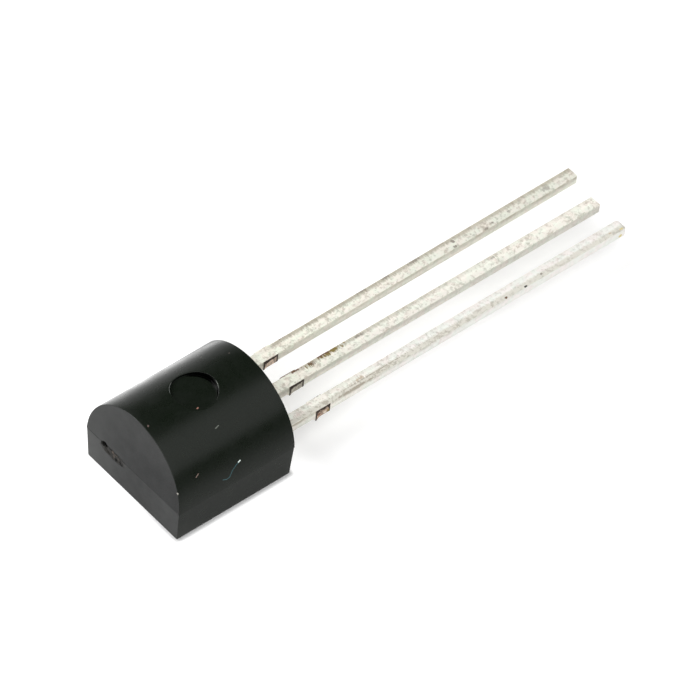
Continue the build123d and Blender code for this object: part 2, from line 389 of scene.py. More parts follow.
def build_body():
    """The moulding as rings of points along X, with a round patch let in for the pin mark."""
    upper, patch_first, patch_last = upper_contour()
    lower = lower_contour()
    ring_count = len(upper) + len(lower)
    rim_angles = spread(0.0, 5, math.pi / 2)
    gate_end_shares = spread(1.0, 10, 0.80, 60, 0.20, 8, 0.02)[1:]
    lead_end_shares = spread(1.0, 14, 0.05)[1:]
    flank = SEAT_X - 0.35
    barrel = spread(-flank, 10, -PATCH, 28, PATCH, 10, flank)

    places = [end_place(-1, share) for share in reversed(gate_end_shares)]
    places += [rim_place(-1, angle) for angle in reversed(rim_angles)]
    first_barrel = len(places)
    places += [barrel_place(x) for x in barrel]
    places += [rim_place(1, angle) for angle in rim_angles]
    places += [end_place(1, share) for share in lead_end_shares]

    verts, faces, rings = [], [], []
    for place in places:
        rings.append(list(range(len(verts), len(verts) + ring_count)))
        for half, end_x in ((upper, SEAT_X), (lower, SEAT_X - STEP)):
            verts += [place(end_x, *point) for point in half]

    patch_start = first_barrel + nearest_index(barrel, -PATCH)
    patch_end = first_barrel + nearest_index(barrel, PATCH)
    for k in range(len(rings) - 1):
        for i in range(ring_count):
            if patch_start <= k < patch_end and patch_first <= i < patch_last:
                continue
            j = (i + 1) % ring_count
            faces.append((rings[k][i], rings[k][j], rings[k + 1][j], rings[k + 1][i]))
    close_end(verts, faces, rings[0], -1, len(upper))
    close_end(verts, faces, rings[-1], 1, len(upper))

    edge = [rings[patch_start][i] for i in range(patch_first, patch_last)]
    edge += [rings[k][patch_last] for k in range(patch_start, patch_end)]
    edge += [rings[patch_end][i] for i in range(patch_last, patch_first, -1)]
    edge += [rings[k][patch_first] for k in range(patch_end, patch_start, -1)]
    loops, middle = pin_mark_loops([verts[v] for v in edge])
    for loop in loops:
        current = list(range(len(verts), len(verts) + len(loop)))
        verts += loop
        bridge(faces, edge, current)
        edge = current
    verts.append(middle)
    fan(faces, edge, len(verts) - 1)
    return link("body_shell", mesh_from("body_shell", verts, faces, 40))


# ---- Leads ----
def inner_end(name, side):
    """Where the bonding end of a lead starts and ends, and how far it reaches to one side."""
    if name == "lead_ground":
        return PADDLE_FROM, PADDLE_TO, PADDLE_WIDTH / 2
    wide_side = 1 if name == "lead_output" else -1
    return POST_FROM, POST_TO, (POST_WIDTH - LEAD_W / 2 if side == wide_side else LEAD_W / 2)


def half_width(s, side, name):
    """How far a lead reaches to one side of its middle line, at distance s past the seating face."""
    reach = LEAD_W / 2
    if STUB_FROM <= s <= STUB_TO:
        reach += STUB_REACH
    from_notch = abs(s + NOTCH_AT)
    if from_notch < NOTCH_RADIUS:
        reach -= math.sqrt(NOTCH_RADIUS**2 - from_notch**2)
    start, end, wide = inner_end(name, side)
    if -end <= s <= -start:
        inside = min(s + end, -start - s)
        if inside < FRAME_CORNER:
            wide -= FRAME_CORNER - math.sqrt(max(0.0, FRAME_CORNER**2 - (FRAME_CORNER - inside) ** 2))
        reach = max(reach, wide)
    return reach


def lead_stations(name):
    """Distances from the seating face at which a lead's section is set, from its inner end to its tip."""
    start, end, _ = inner_end(name, 1)
    gap = 0.006  # between the two sections where the width jumps
    tip = LEAD_LENGTH - 0.14
    corner = spread(0.0, 6, FRAME_CORNER)
    stations = [-end + past for past in corner] + [-start - past for past in corner]
    stations += spread(-start + 0.002, 2, -NOTCH_AT - NOTCH_RADIUS, 12, -NOTCH_AT + NOTCH_RADIUS)
    stations += spread(-NOTCH_AT + NOTCH_RADIUS + 0.02, 6, 0.0, 32, STUB_FROM - gap)
    stations += spread(STUB_FROM, 16, STUB_TO)
    stations += spread(STUB_TO + gap, 330, tip)
    tip_steps = (0.12, 0.10, 0.08, 0.07, 0.06, 0.05, 0.04, 0.03, 0.02, 0.012, 0.006, 0.002, 0.0)
    stations += [LEAD_LENGTH - back for back in tip_steps]
    return sorted(set(round(s, 5) for s in stations))


def turned(s, start, degrees):
    """Run, offset and slope angle at distance s of a line that turns by some degrees past start."""
    angle = math.radians(degrees)
    past = s - start
    if past <= 0:
        return s, 0.0, 0.0
    arc = abs(angle) * BEND_RADIUS
    if past < arc:
        a = past / BEND_RADIUS
        offset = math.copysign(BEND_RADIUS * (1 - math.cos(a)), angle)
        return start + BEND_RADIUS * math.sin(a), offset, math.copysign(a, angle)
    rest = past - arc
    run = start + BEND_RADIUS * math.sin(abs(angle)) + rest * math.cos(angle)
    offset = BEND_RADIUS * (1 - math.cos(angle)) + rest * math.sin(abs(angle))
    return run, math.copysign(offset, angle), angle


def lead_section(left, right):
    """Ring of (across, up, part) round a lead's section, from -left to right; its top lies at 0."""
    roll = TOP_ROLL
    top_steps, side_steps, bottom_steps, arc_steps = 12, 6, 8, 4
    width = left + right
    arc = [math.pi / 2 * k / arc_steps for k in range(arc_steps + 1)]
    side_up = [-roll - (LEAD_T - roll) * k / side_steps for k in range(side_steps + 1)]
    points = [(-left + roll + (width - 2 * roll) * k / top_steps, 0.0, "top") for k in range(top_steps + 1)]
    points += [(right - roll + roll * math.sin(a), -roll + roll * math.cos(a), "roll") for a in arc[1:]]
    points += [(right, up, "side") for up in side_up[1:-1]]
    points += [(right - width * k / bottom_steps, -LEAD_T, "bottom") for k in range(bottom_steps + 1)]
    points += [(-left, up, "side") for up in reversed(side_up[1:-1])]
    arc.reverse()
    points += [(-left + roll - roll * math.sin(a), -roll + roll * math.cos(a), "roll") for a in arc[:-1]]
    return points


def worn(s, across, up, part, seed):
    """A point of the section, moved a little as stamping and handling left it."""
    outside = min(1.0, max(0.0, s / 0.3))
    if part == "top":
        up -= outside * (0.004 + 0.007 * ripple(s * 0.8, across * 2, seed, 3.0, 4))
    elif part == "roll":
        edge = abs(outside * 0.008 * ripple(s, math.copysign(5, across), seed, 5.0, 3))
        up -= edge
        across -= math.copysign(0.3 * edge, across)
    elif part == "side":
        inset = outside * 0.006 * (1 + ripple(s, up * 3, seed + 9, 6.0, 3)) / 2
        across -= math.copysign(inset, across)
    else:
        up += outside * 0.006 * (1 + ripple(s, across * 2, seed + 5, 4.0, 3)) / 2
    return across, up


def build_lead(name):
    """A lead as sections along its run. The point attribute place holds (s, across, up) for its material."""
    spec = LEADS[name]
    verts, places, rings = [], [], []
    for s in lead_stations(name):
        run, offset, yaw = turned(s, YAW_OFFSET, spec["yaw"])
        rise, tilt = turned(s, 0.0, spec["tilt"])[1:]
        tip_share = max(0.0, (s - (LEAD_LENGTH - spec["tip"])) / spec["tip"])
        pull = 0.6 * spec["tip"] * (1 - math.sqrt(max(0.0, 1 - tip_share**2)))
        left = half_width(s, -1, name) - pull
        right = half_width(s, 1, name) - pull
        hang = spec["burr"] * max(0.0, 1 - abs(s - STUB_FROM - 0.02) / 0.11)
        ring = []
        for across, up, part in lead_section(left, right):
            across, up = worn(s, across, up, part, spec["seed"])
            if part in ("top", "roll"):
                up -= pull
            if across < 0 and up < -LEAD_T / 2:
                up += hang * (up + LEAD_T / 2) / LEAD_T * 2 * min(1.0, -across / left) ** 4
            x = SEAT_X + run * math.cos(tilt) - across * math.sin(yaw)
            y = spec["y"] + offset + across * math.cos(yaw)
            ring.append(len(verts))
            verts.append((x, y, PARTING + rise + up))
            places.append((s, across, up))
        rings.append(ring)
    faces = []
    for ring, next_ring in zip(rings, rings[1:]):
        bridge(faces, ring, next_ring)
    for ring in (rings[0], rings[-1]):
        for points in (verts, places):
            points.append(tuple(sum(points[v][axis] for v in ring) / len(ring) for axis in range(3)))
        fan(faces, ring, len(verts) - 1)
    mesh = mesh_from(name + "_skin", verts, faces, 35)
    place = mesh.attributes.new("place", "FLOAT_VECTOR", "POINT")
    place.data.foreach_set("vector", [value for point in places for value in point])
    return link(name + "_skin", mesh)


# ---- Nodes that the materials are made of ----
class Nodes:
    """Short ways to make and join shader nodes. A value is a number, a colour or a node's output."""

    def __init__(self, tree):
        self.tree = tree

    def make(self, kind, *values, **settings):
        """A new node, with its settings, and with values for its inputs in their order."""
        node = self.tree.nodes.new(kind)
        for key, value in settings.items():
            setattr(node, key, value)
        for value, target in zip(values, node.inputs):
            self.feed(value, target)
        return node

    def join(self, source, target):
        self.tree.links.new(source, target)

    def feed(self, value, target):
        if hasattr(value, "node"):
            self.join(value, target)
        else:
            target.default_value = value

    def maths(self, operation, *values, clamp=False):
        return self.make("ShaderNodeMath", *values, operation=operation, use_clamp=clamp).outputs[0]

    def chain(self, operation, values):
        total = values[0]
        for value in values[1:]:
            total = self.maths(operation, total, value)
        return total

    def plus(self, *values):
        return self.chain("ADD", values)

    def times(self, *values):
        return self.chain("MULTIPLY", values)

    def most(self, *values):
        return self.chain("MAXIMUM", values)

    def least(self, *values):
        return self.chain("MINIMUM", values)

    def minus(self, value, taken):
        return self.maths("SUBTRACT", value, taken)

    def over(self, value, divisor):
        return self.maths("DIVIDE", value, divisor)

    def size(self, value):
        return self.maths("ABSOLUTE", value)

    def length(self, *parts):
        return self.maths("SQRT", self.plus(*[self.times(part, part) for part in parts]))

    def dot(self, values, weights):
        return self.plus(*[self.times(value, weight) for value, weight in zip(values, weights)])

    def axes(self, vector):
        return self.make("ShaderNodeSeparateXYZ", vector).outputs

    def mix(self, factor, a, b, blend="MIX"):
        node = self.make("ShaderNodeMix", data_type="RGBA", blend_type=blend)
        for value, slot in ((factor, 0), (a, 6), (b, 7)):
            self.feed(value, node.inputs[slot])
        return node.outputs[2]

    def mix_value(self, factor, a, b):
        return self.plus(self.times(self.minus(b, a), factor), a)

    def paint(self, colour, layers):
        """Lay tones over a colour, one after the other, each where its mask is 1."""
        for mask, tone in layers:
            colour = self.mix(mask, colour, tone)
        return colour

    def ramp(self, value, low, high, out_low=0.0, out_high=1.0, smooth=True):
        """Pass from out_low to out_high while a value goes from low to high. Low may be above high."""
        kind = "SMOOTHSTEP" if smooth else "LINEAR"
        node = self.make("ShaderNodeMapRange", value, low, high, out_low, out_high, interpolation_type=kind)
        return node.outputs[0]

    def gray(self, value, blue):
        """A gray with as much red and green as the value says, and blue times as much blue."""
        return self.make("ShaderNodeCombineColor", value, value, self.times(value, blue)).outputs[0]

    def noise(self, vector, scale, detail, rough=0.55, distortion=0.0):
        node = self.make("ShaderNodeTexNoise", vector)
        node.inputs["Scale"].default_value = scale
        node.inputs["Detail"].default_value = detail
        node.inputs["Roughness"].default_value = rough
        node.inputs["Distortion"].default_value = distortion
        return node.outputs["Fac"]

    def scaled(self, vector, scales, shift=(0, 0, 0)):
        turn = (0, 0, 0)
        return self.make("ShaderNodeMapping", vector, shift, turn, scales).outputs[0]

    def shifted(self, vector, shift):
        return self.scaled(vector, (1, 1, 1), shift)

    def millimetres(self):
        """Where a point lies in the frame of its object, in millimetres."""
        place = self.make("ShaderNodeTexCoord").outputs["Object"]
        return self.scaled(place, (1 / MM, 1 / MM, 1 / MM))

    def bump(self, height, strength, depth):
        """A normal from a height, whose full range is worth some depth in millimetres."""
        node = self.make("ShaderNodeBump", strength, depth * MM)
        self.join(height, node.inputs["Height"])
        return node.outputs[0]

    def both(self, shader, other):
        return self.make("ShaderNodeAddShader", shader, other).outputs[0]

    def either(self, switch, off, on):
        """One of two shaders: the first where the switch is 0, the second where it is 1."""
        return self.make("ShaderNodeMixShader", switch, off, on).outputs[0]


def empty_material(name):
    material = bpy.data.materials.new(name)
    material.use_nodes = True
    material.node_tree.nodes.clear()
    return material, Nodes(material.node_tree)


def new_material(name):
    """A material, its nodes, its principled shader and the place of a point in millimetres."""
    material, n = empty_material(name)
    shader = n.make("ShaderNodeBsdfPrincipled")
    n.make("ShaderNodeOutputMaterial", shader.outputs[0])
    return material, n, shader, n.millimetres()


def heading(degrees):
    """Direction in plan, from +X towards +Y."""
    return math.cos(math.radians(degrees)), math.sin(math.radians(degrees))


def near_line(n, point, start, end):
    """Distance of a point, given as sockets, from a straight piece of line on the same axes."""
    reach = [far - near for near, far in zip(start, end)]
    away = [n.minus(socket, near) for socket, near in zip(point, start)]
    share = n.maths("DIVIDE", n.dot(away, reach), sum(part * part for part in reach), clamp=True)
    return n.length(*[n.minus(offset, n.times(share, part)) for offset, part in zip(away, reach)])


# ---- Moulded epoxy ----
# pairs of tones of its grain: on the satin sides, on the matt end faces, and two hues laid over the latter
SATIN = ((0.0022, 0.0048, 0.0018, 1), (0.0056, 0.0088, 0.0050, 1))
MATT = ((0.001, 0.002, 0.002, 1), (0.017, 0.018, 0.018, 1))
HUES = ((0.014, 0.006, 0.010, 1), (0.003, 0.012, 0.008, 1))
GRAZED = (0.056, 0.058, 0.056, 1)  # end faces where light grazes them
TORN_RESIN = (0.016, 0.013, 0.009, 1)
# near black of the gate's scar, also painted shade in its pit and along the seam
SCAR_BLACK_AND_SHADE = (0.0008, 0.0010, 0.0004, 1)
RIDGE_PALE = (0.110, 0.085, 0.066, 1)
# painted shade: the pin mark's wall, and painted shadow on its floor beside it
PIN_SHADE_BLACK = (0.0006, 0.0008, 0.0004, 1)
LINT_BLUE = (0.035, 0.095, 0.108, 1)
LINT_WHITE = (0.75, 0.85, 0.80, 1)

# colour spots on the gate's scar, ovals of the end face like TORN, each with how solid it is
# the first of the dark spots, the pit, is painted shade
DARK_SPOTS = [
    (PIT, 1.0),
    ((0.90, 1.245, 0.48, 0.085, 0.02), 0.95),
    ((1.22, 1.04, 0.20, 0.07, 0.30), 0.35),
    ((0.84, 0.99, 0.06, 0.08, 0.0), 0.8),
    ((0.58, 1.02, 0.10, 0.08, 0.0), 0.75),
    ((1.10, 1.23, 0.13, 0.04, 0.0), 0.4),
]
PALE_SPOTS = [
    ((1.01, 1.17, 0.05, 0.06, 0.0), 1.0),
    ((0.95, 1.04, 0.035, 0.10, 0.0), 0.6),
    ((0.84, 1.16, 0.06, 0.035, 0.0), 0.6),
    ((0.60, 1.19, 0.07, 0.025, 0.0), 0.5),
    ((0.74, 1.09, 0.04, 0.03, 0.0), 0.4),
]
# painted glints on the pin mark's lip: direction and half width in degrees, how strong, colour
LIP_GLINTS = [
    (136, 22, 0.8, (0.16, 0.17, 0.16, 1)),
    (-21, 6, 0.8, (0.20, 0.22, 0.19, 1)),
    (-46, 24, 0.3, (0.05, 0.05, 0.045, 1)),
]
# dust on the body: where each speck starts and ends, its half width, its colour
DUST = [
    ((-0.33, -0.56, 3.29), (-0.28, -0.54, 3.29), 0.024, (0.34, 0.17, 0.13, 1)),
    ((1.15, 1.06, 3.23), (1.17, 1.06, 3.23), 0.020, (0.10, 0.09, 0.08, 1)),
    ((-2.08, -0.33, 3.46), (-2.06, -0.31, 3.47), 0.030, (0.13, 0.09, 0.08, 1)),
    ((-0.235, -1.350, 3.040), (-0.105, -1.325, 3.058), 0.018, (0.13, 0.14, 0.12, 1)),
    ((-1.495, -2.010, 2.251), (-1.385, -1.982, 2.306), 0.019, (0.18, 0.13, 0.11, 1)),
    ((1.82, 0.53, 3.43), (1.84, 0.53, 3.43), 0.020, (0.12, 0.10, 0.09, 1)),
    ((-2.29, -2.11, 2.06), (-2.27, -2.07, 2.08), 0.034, (0.40, 0.38, 0.34, 1)),
]
# a fibre of lint on the -Y side: points along it as x and z, from its pale head on
LINT = [
    (0.15, 1.985), (0.02, 1.925), (-0.15, 1.82), (-0.23, 1.72), (-0.30, 1.62), (-0.42, 1.60), (-0.55, 1.66),
]
LINT_HEAD = ((0.10, 1.968), (0.17, 1.985))


def end_face_light(n, y, z):
    """How pale the end faces are: more towards +Y, more at the top, more low down towards -Y."""
    left = n.times(n.ramp(y, -0.4, 2.2, 0.0, 0.80, smooth=False), n.ramp(y, 0.0, 2.0, 0.35, 1.0))
    top = n.ramp(z, 1.9, 3.3, 0.0, 0.38)
    lower_half = n.ramp(z, PARTING + 0.04, PARTING - 0.02)
    return n.plus(left, top, n.times(lower_half, n.ramp(y, -0.3, -2.1, 0.15, 0.55)))


def seam_shade(n, y, z, patches):
    """Painted shade in the seam of the mould, plainest beside the broken gate."""
    from_seam = n.size(n.minus(z, PARTING + SEAM_RISE))
    beside_gate = n.plus(1.0, n.ramp(y, 1.4, 1.5, 0.0, 0.9))
    seam_darkening = n.times(n.ramp(from_seam, 0.024, 0.008), n.ramp(y, -1.6, 0.4, 0.0, 0.35), beside_gate)
    return n.times(seam_darkening, n.ramp(patches, 0.35, 0.5, 0.5, 1.0))


def oval(n, y, z, spot, ragged):
    """1 inside an oval of the end face, 0 outside, with a ragged border."""
    at_y, at_z, reach_y, reach_z, slope = spot
    dy = n.minus(y, at_y)
    dz = n.minus(n.minus(z, at_z), n.times(dy, slope))
    distance = n.length(n.over(dy, reach_y), n.over(dz, reach_z))
    return n.ramp(n.plus(distance, ragged), 1.25, 0.75)


def gate_scar(n, mm, x, y, z, seam):
    """Masks of the broken gate's end: where it is torn, where it is black, where a ridge is pale.

    The black holds painted shade in its pit and along the seam.
    """
    ragged = n.times(n.minus(n.noise(mm, 9.0, 4.0, 0.7), 0.5), 1.3)
    on_gate_end = n.ramp(x, 0.0, -0.1)
    dark = [n.times(oval(n, y, z, spot, ragged), solid) for spot, solid in DARK_SPOTS]
    pale = [n.times(oval(n, y, z, spot, ragged), solid) for spot, solid in PALE_SPOTS]
    masks = oval(n, y, z, TORN, ragged), n.most(seam, *dark), n.most(*pale)
    return [n.times(mask, on_gate_end) for mask in masks]


def pin_wall_shade(n, x, y, z, from_axis, facing_up):
    """Mask of painted shade in the pin mark: its black wall and the dark strips of its floor.

    The strips are painted shadow beside two parts of the wall.
    """
    at_top = n.ramp(z, DEPTH - 0.29, DEPTH - 0.24)
    wall = n.times(n.ramp(from_axis, PIN_RADIUS + 0.006, PIN_RADIUS + 0.004), n.ramp(from_axis, 0.70, 0.72))
    wall = n.times(wall, n.ramp(n.size(facing_up), 0.7, 0.4), at_top)
    far_side = n.ramp(n.dot((x, y), heading(25)), 0.46, 0.62)
    low_side = n.ramp(n.dot((x, y), heading(-40)), 0.60, 0.70)
    strip = n.times(n.ramp(from_axis, 0.655, 0.705), far_side)
    strip = n.most(strip, n.times(n.ramp(from_axis, 0.71, 0.73), low_side))
    strip = n.times(strip, n.ramp(from_axis, PIN_RADIUS + 0.004, PIN_RADIUS + 0.002), at_top)
    return n.most(wall, strip)


def lip_glint_layers(n, x, y, z, from_axis):
    """The painted glints on the pin mark's lip, as masks and tones."""
    from_lip = n.size(n.over(n.minus(from_axis, PIN_RADIUS + 0.006), 0.016))
    from_core = n.length(y, n.minus(z, ARCH_Z))
    on_round_side = n.ramp(from_core, ARCH_RADIUS - 0.02, ARCH_RADIUS - 0.008)
    lip = n.times(n.ramp(n.minus(1.0, from_lip), 0.0, 0.6), on_round_side)
    layers = []
    # worn is how strong each painted glint is
    for turn, half_angle, worn, tone in LIP_GLINTS:
        edge = PIN_RADIUS * math.cos(math.radians(half_angle))
        full = PIN_RADIUS * math.cos(math.radians(half_angle / 2))
        near = n.ramp(n.dot((x, y), heading(turn)), edge, full)
        layers.append((n.times(lip, near, worn), tone))
    return layers


def dust_layers(n, x, y, z):
    """The specks of dust and the fibre of lint on the body, as masks and tones."""
    layers = []
    for start, end, half, tone in DUST:
        distance = near_line(n, (x, y, z), start, end)
        layers.append((n.ramp(distance, 1.2 * half, 0.6 * half), tone))
    from_fibre = n.least(*[near_line(n, (x, z), start, end) for start, end in zip(LINT, LINT[1:])])
    from_head = near_line(n, (x, z), *LINT_HEAD)
    on_side = n.ramp(y, -1.8, -2.0)
    layers.append((n.times(n.ramp(from_fibre, 0.021, 0.006), on_side), LINT_BLUE))
    layers.append((n.times(n.ramp(from_head, 0.030, 0.014), on_side), LINT_WHITE))
    return layers


def epoxy_material():
    """Moulded epoxy: satin on the round and flat sides, matt on the end faces, with its scars and dust.

    It also holds painted light on the end faces, painted shade in the seam, the scar's pit and the pin
    mark, and painted glints on the pin mark's lip.
    """
    material, n, shader, mm = new_material("epoxy_moulded")
    x, y, z = n.axes(mm)
    facing_x, _, facing_up = n.axes(n.make("ShaderNodeNewGeometry").outputs["Normal"])
    near_end = n.ramp(n.size(x), SEAT_X - 0.30, SEAT_X - 0.20)
    end_face = n.times(n.ramp(n.size(facing_x), 0.6, 0.95), near_end)
    from_axis = n.length(x, y)
    grain = n.noise(mm, 28.0, 3.0, 0.65)
    patches = n.noise(mm, 2.2, 3.0)
    hue = n.ramp(n.noise(n.shifted(mm, (7, 3, 5)), 22.0, 2.0, 0.6), 0.36, 0.64)
    speckle = n.ramp(grain, 0.34, 0.66, smooth=False)

    matt = n.mix(0.30, n.mix(speckle, *MATT), n.mix(hue, *HUES))
    colour = n.mix(end_face, n.mix(speckle, *SATIN), matt)
    grazed = n.maths("MULTIPLY", end_face_light(n, y, z), end_face, clamp=True)
    # the seam carries painted shade
    seam = n.times(seam_shade(n, y, z, patches), end_face)
    torn, black, ridge = gate_scar(n, mm, x, y, z, seam)
    wall = pin_wall_shade(n, x, y, z, from_axis, facing_up)
    layers = [
        (grazed, GRAZED),
        (torn, TORN_RESIN),
        # the scar's black is partly painted shade: its pit and the seam
        (black, SCAR_BLACK_AND_SHADE),
        (ridge, RIDGE_PALE),
        # the pin mark's wall and the strips of floor beside it are painted shade
        (wall, PIN_SHADE_BLACK),
    ]
    # painted glints on the pin mark's lip
    layers += lip_glint_layers(n, x, y, z, from_axis)
    layers += dust_layers(n, x, y, z)
    n.join(n.paint(colour, layers), shader.inputs["Base Color"])

    rough = n.plus(n.ramp(patches, 0.3, 0.7, 0.26, 0.33), n.times(end_face, 0.22))
    n.join(n.minus(rough, n.times(wall, 0.16)), shader.inputs["Roughness"])
    # a metallic surface of so black a tone gives next to no gloss, as in the scar and on the pin mark's wall
    gloss_lost = n.most(n.times(black, 0.9), n.times(torn, 0.25), n.times(wall, 0.8))
    n.join(gloss_lost, shader.inputs["Metallic"])
    shader.inputs["IOR"].default_value = 1.55
    relief = n.plus(n.times(end_face, 0.45), 0.25)
    n.join(n.bump(grain, relief, 0.004), shader.inputs["Normal"])
    return material


# ---- Tinned leads ----
# pairs of tones: tin where it is pale and where it is grey, grime on it, shade on it
TIN_PALE = ((1.0, 0.955, 0.86, 1), (0.96, 0.975, 0.86, 1))
TIN_GREY = ((0.66, 0.59, 0.50, 1), (0.62, 0.62, 0.52, 1))
GRIME = ((0.36, 0.32, 0.24, 1), (0.56, 0.52, 0.42, 1))
SHADE = ((0.50, 0.465, 0.39, 1), (0.72, 0.695, 0.61, 1))
EDGE_LINE = (0.42, 0.38, 0.30, 1)
# dark copper of the sheared stub: burnish and painted shade in one
BURNISHED_AND_SHADED = (0.035, 0.021, 0.013, 1)
MARK_HEIGHT = 0.06  # how far a mark reaches up and down
STUB_SIDE = LEAD_W / 2 + STUB_REACH


class LeadPlace:
    """Where a point lies on its lead, in millimetres, and the noises of that lead, all as sockets.

    s is the distance from the seating face, across is 0 on the lead's middle line, and up is 0 on its top.
    """

    def __init__(self, n, mm, spec):
        place = n.make("ShaderNodeAttribute", attribute_name="place").outputs["Vector"]
        own_shift = (spec["seed"], 0, 0)
        self.n = n
        self.spec = spec
        self.s, self.across, self.up = n.axes(place)
        self.on_top = n.ramp(self.up, -0.06, -0.02)
        self.own = n.shifted(mm, own_shift)
        self.patches = n.noise(self.own, 2.4, 4.0, 0.6, 0.5)
        self.blotches = n.noise(self.own, 7.5, 4.0, 0.65, 0.3)
        self.fine = n.noise(self.own, 19.0, 3.0, 0.7)
        self.strokes = n.noise(n.scaled(place, (15.0, 2.4, 2.4), own_shift), 1.0, 3.0, 0.7)

    def along(self, key, low=3.0, high=11.0):
        """The lead's pair of values for a key, passing from the one to the other between two distances."""
        return self.n.ramp(self.s, low, high, *self.spec[key], smooth=False)


def tin_mottle(n, at):
    """How pale the tin is, from 0 to 1, by its mottle."""
    mottle = n.plus(
        n.times(n.ramp(at.patches, 0.35, 0.65), 0.35),
        n.times(n.ramp(at.blotches, 0.36, 0.56), 0.45),
        n.times(n.ramp(at.fine, 0.35, 0.60), 0.20),
    )
    strength = n.times(n.plus(n.times(at.on_top, 0.6), 0.4), at.along("mottle"))
    middle = n.plus(n.times(at.along("mottle"), -0.10), 0.72)
    return n.plus(n.times(n.minus(mottle, 0.62), strength), middle)


def tin_plate(n, at, mottle):
    """The plate itself: pale, a little green and pink in turns, with greyer blotches.

    Over it lies painted light and shade: each lead lighter or darker along its length, its sides darker
    than its top and their lower part lighter or darker. It is also a little darker close to the body.
    """
    tint = n.ramp(n.noise(at.own, 3.2, 3.0), 0.38, 0.62)
    colour = n.mix(n.ramp(mottle, 0.10, 0.80), n.mix(tint, *TIN_GREY), n.mix(tint, *TIN_PALE))
    side = at.spec["side"]
    by_body = n.ramp(at.s, STUB_FROM - 0.13, STUB_FROM + 0.03, 0.90, 1.0)
    by_side = n.plus(n.times(at.on_top, 1 - side), side)
    by_hem = n.mix_value(n.ramp(at.up, -0.14, -0.30), 1.0, at.along("hem", 4.0, 12.0))
    # painted light and shade of the lead, laid on as one level
    level = n.times(at.along("light"), by_body, by_side, by_hem)
    return n.mix(1.0, colour, n.gray(level, at.along("blue", 2.0, 5.0)), "MULTIPLY")


def grime_layers(n, at, mottle):
    """Grime on the +Y part of the top, shade on its -Y part and a dark line under its edge.

    The borders of the grime and of the shade are drawn out into short strokes across the lead.
    """
    jitter = n.plus(n.times(at.strokes, 0.26), n.times(at.blotches, 0.16))
    thickness = n.mix_value(n.ramp(at.across, 0.18, 0.215), at.along("grime"), at.along("rim"))
    past_stub = n.ramp(at.s, 1.8, 2.4, 0.15, 1.0)
    grime = n.times(n.ramp(n.plus(at.across, jitter), 0.22, 0.34), thickness, past_stub)
    worn = n.ramp(n.plus(at.blotches, n.times(at.strokes, 0.5)), 0.60, 0.85, 0.72, 1.15)
    grime = n.maths("MULTIPLY", grime, worn, clamp=True)
    shade = n.times(n.ramp(n.minus(at.across, jitter), -0.20, -0.30), at.along("shade"), at.on_top)
    line = n.times(n.ramp(at.up, -0.015, -0.04), n.ramp(at.up, -0.22, -0.06))
    line = n.times(line, at.along("line"), n.ramp(at.patches, 0.4, 0.6, 0.5, 1.5))
    return [
        (grime, n.mix(n.ramp(at.blotches, 0.4, 0.6), *GRIME)),
        (shade, n.mix(n.ramp(mottle, 0.3, 0.7), *SHADE)),
        (line, EDGE_LINE),
    ]


def stub_layer(n, at):
    """Bare copper where the tie bar was sheared off: dark along the top and both ends, rough below.

    The dark is burnish and painted shade in one.
    """
    cut = n.times(
        n.ramp(n.size(at.across), STUB_SIDE - 0.014, STUB_SIDE - 0.007),
        n.ramp(at.s, STUB_FROM - 0.01, STUB_FROM),
        n.ramp(at.s, STUB_TO + 0.01, STUB_TO),
    )
    fleck = n.noise(n.shifted(at.own, (0, 4, 9)), 8.0, 4.0, 0.65)
    flecked = n.gray(n.ramp(fleck, 0.36, 0.64, 0.55, 1.25), 1.03)
    copper = n.mix(1.0, flecked, at.spec["bare"] + (1,), "MULTIPLY")
    ragged = n.times(n.minus(at.blotches, 0.5), at.spec["burr"] * 2.5)
    slant = n.times(n.minus(at.s, STUB_FROM), 0.13)
    near_edge = n.plus(at.s, n.times(at.up, -0.10))
    dark_bands = n.most(
        n.ramp(n.minus(n.plus(at.up, ragged), slant), -0.18, -0.13),
        n.ramp(at.s, STUB_TO - 0.08, STUB_TO - 0.05),
        n.ramp(near_edge, STUB_FROM + 0.10, STUB_FROM + 0.07),
    )
    return cut, n.mix(dark_bands, copper, BURNISHED_AND_SHADED)


def mark_layers(n, at, marks):
    """Single marks, each ragged and worn through by the strokes, as masks and tones."""
    torn = n.plus(n.times(at.strokes, 0.6), n.times(at.blotches, 0.4))
    layers = []
    for mark_s, mark_across, mark_up, reach_s, reach_across, solid, tone in marks:
        distance = n.length(
            n.over(n.minus(at.s, mark_s), reach_s),
            n.over(n.minus(at.across, mark_across), reach_across),
            n.over(n.minus(at.up, mark_up), MARK_HEIGHT),
        )
        worn = n.minus(torn, n.times(distance, 0.22))
        spot = n.ramp(worn, 0.46 - 0.25 * solid, 0.52 - 0.25 * solid)
        layers.append((n.times(spot, n.ramp(distance, 1.15, 0.85)), tone))
    return layers


def tin_material(name):
    """Mottled tin plate, with the marks of one lead and its painted light and shade."""
    material, n, shader, mm = new_material("tin_" + name)
    at = LeadPlace(n, mm, LEADS[name])
    mottle = tin_mottle(n, at)
    layers = grime_layers(n, at, mottle)
    layers.append(stub_layer(n, at))
    layers += mark_layers(n, at, MARKS[name])
    n.join(n.paint(tin_plate(n, at, mottle), layers), shader.inputs["Base Color"])
    shader.inputs["Metallic"].default_value = 0.12
    n.join(n.ramp(at.patches, 0.3, 0.7, 0.52, 0.40), shader.inputs["Roughness"])
    height = n.plus(at.blotches, n.times(at.fine, 0.4), n.times(at.strokes, 0.4))
    n.join(n.bump(height, 0.5, 0.008), shader.inputs["Normal"])
    return material


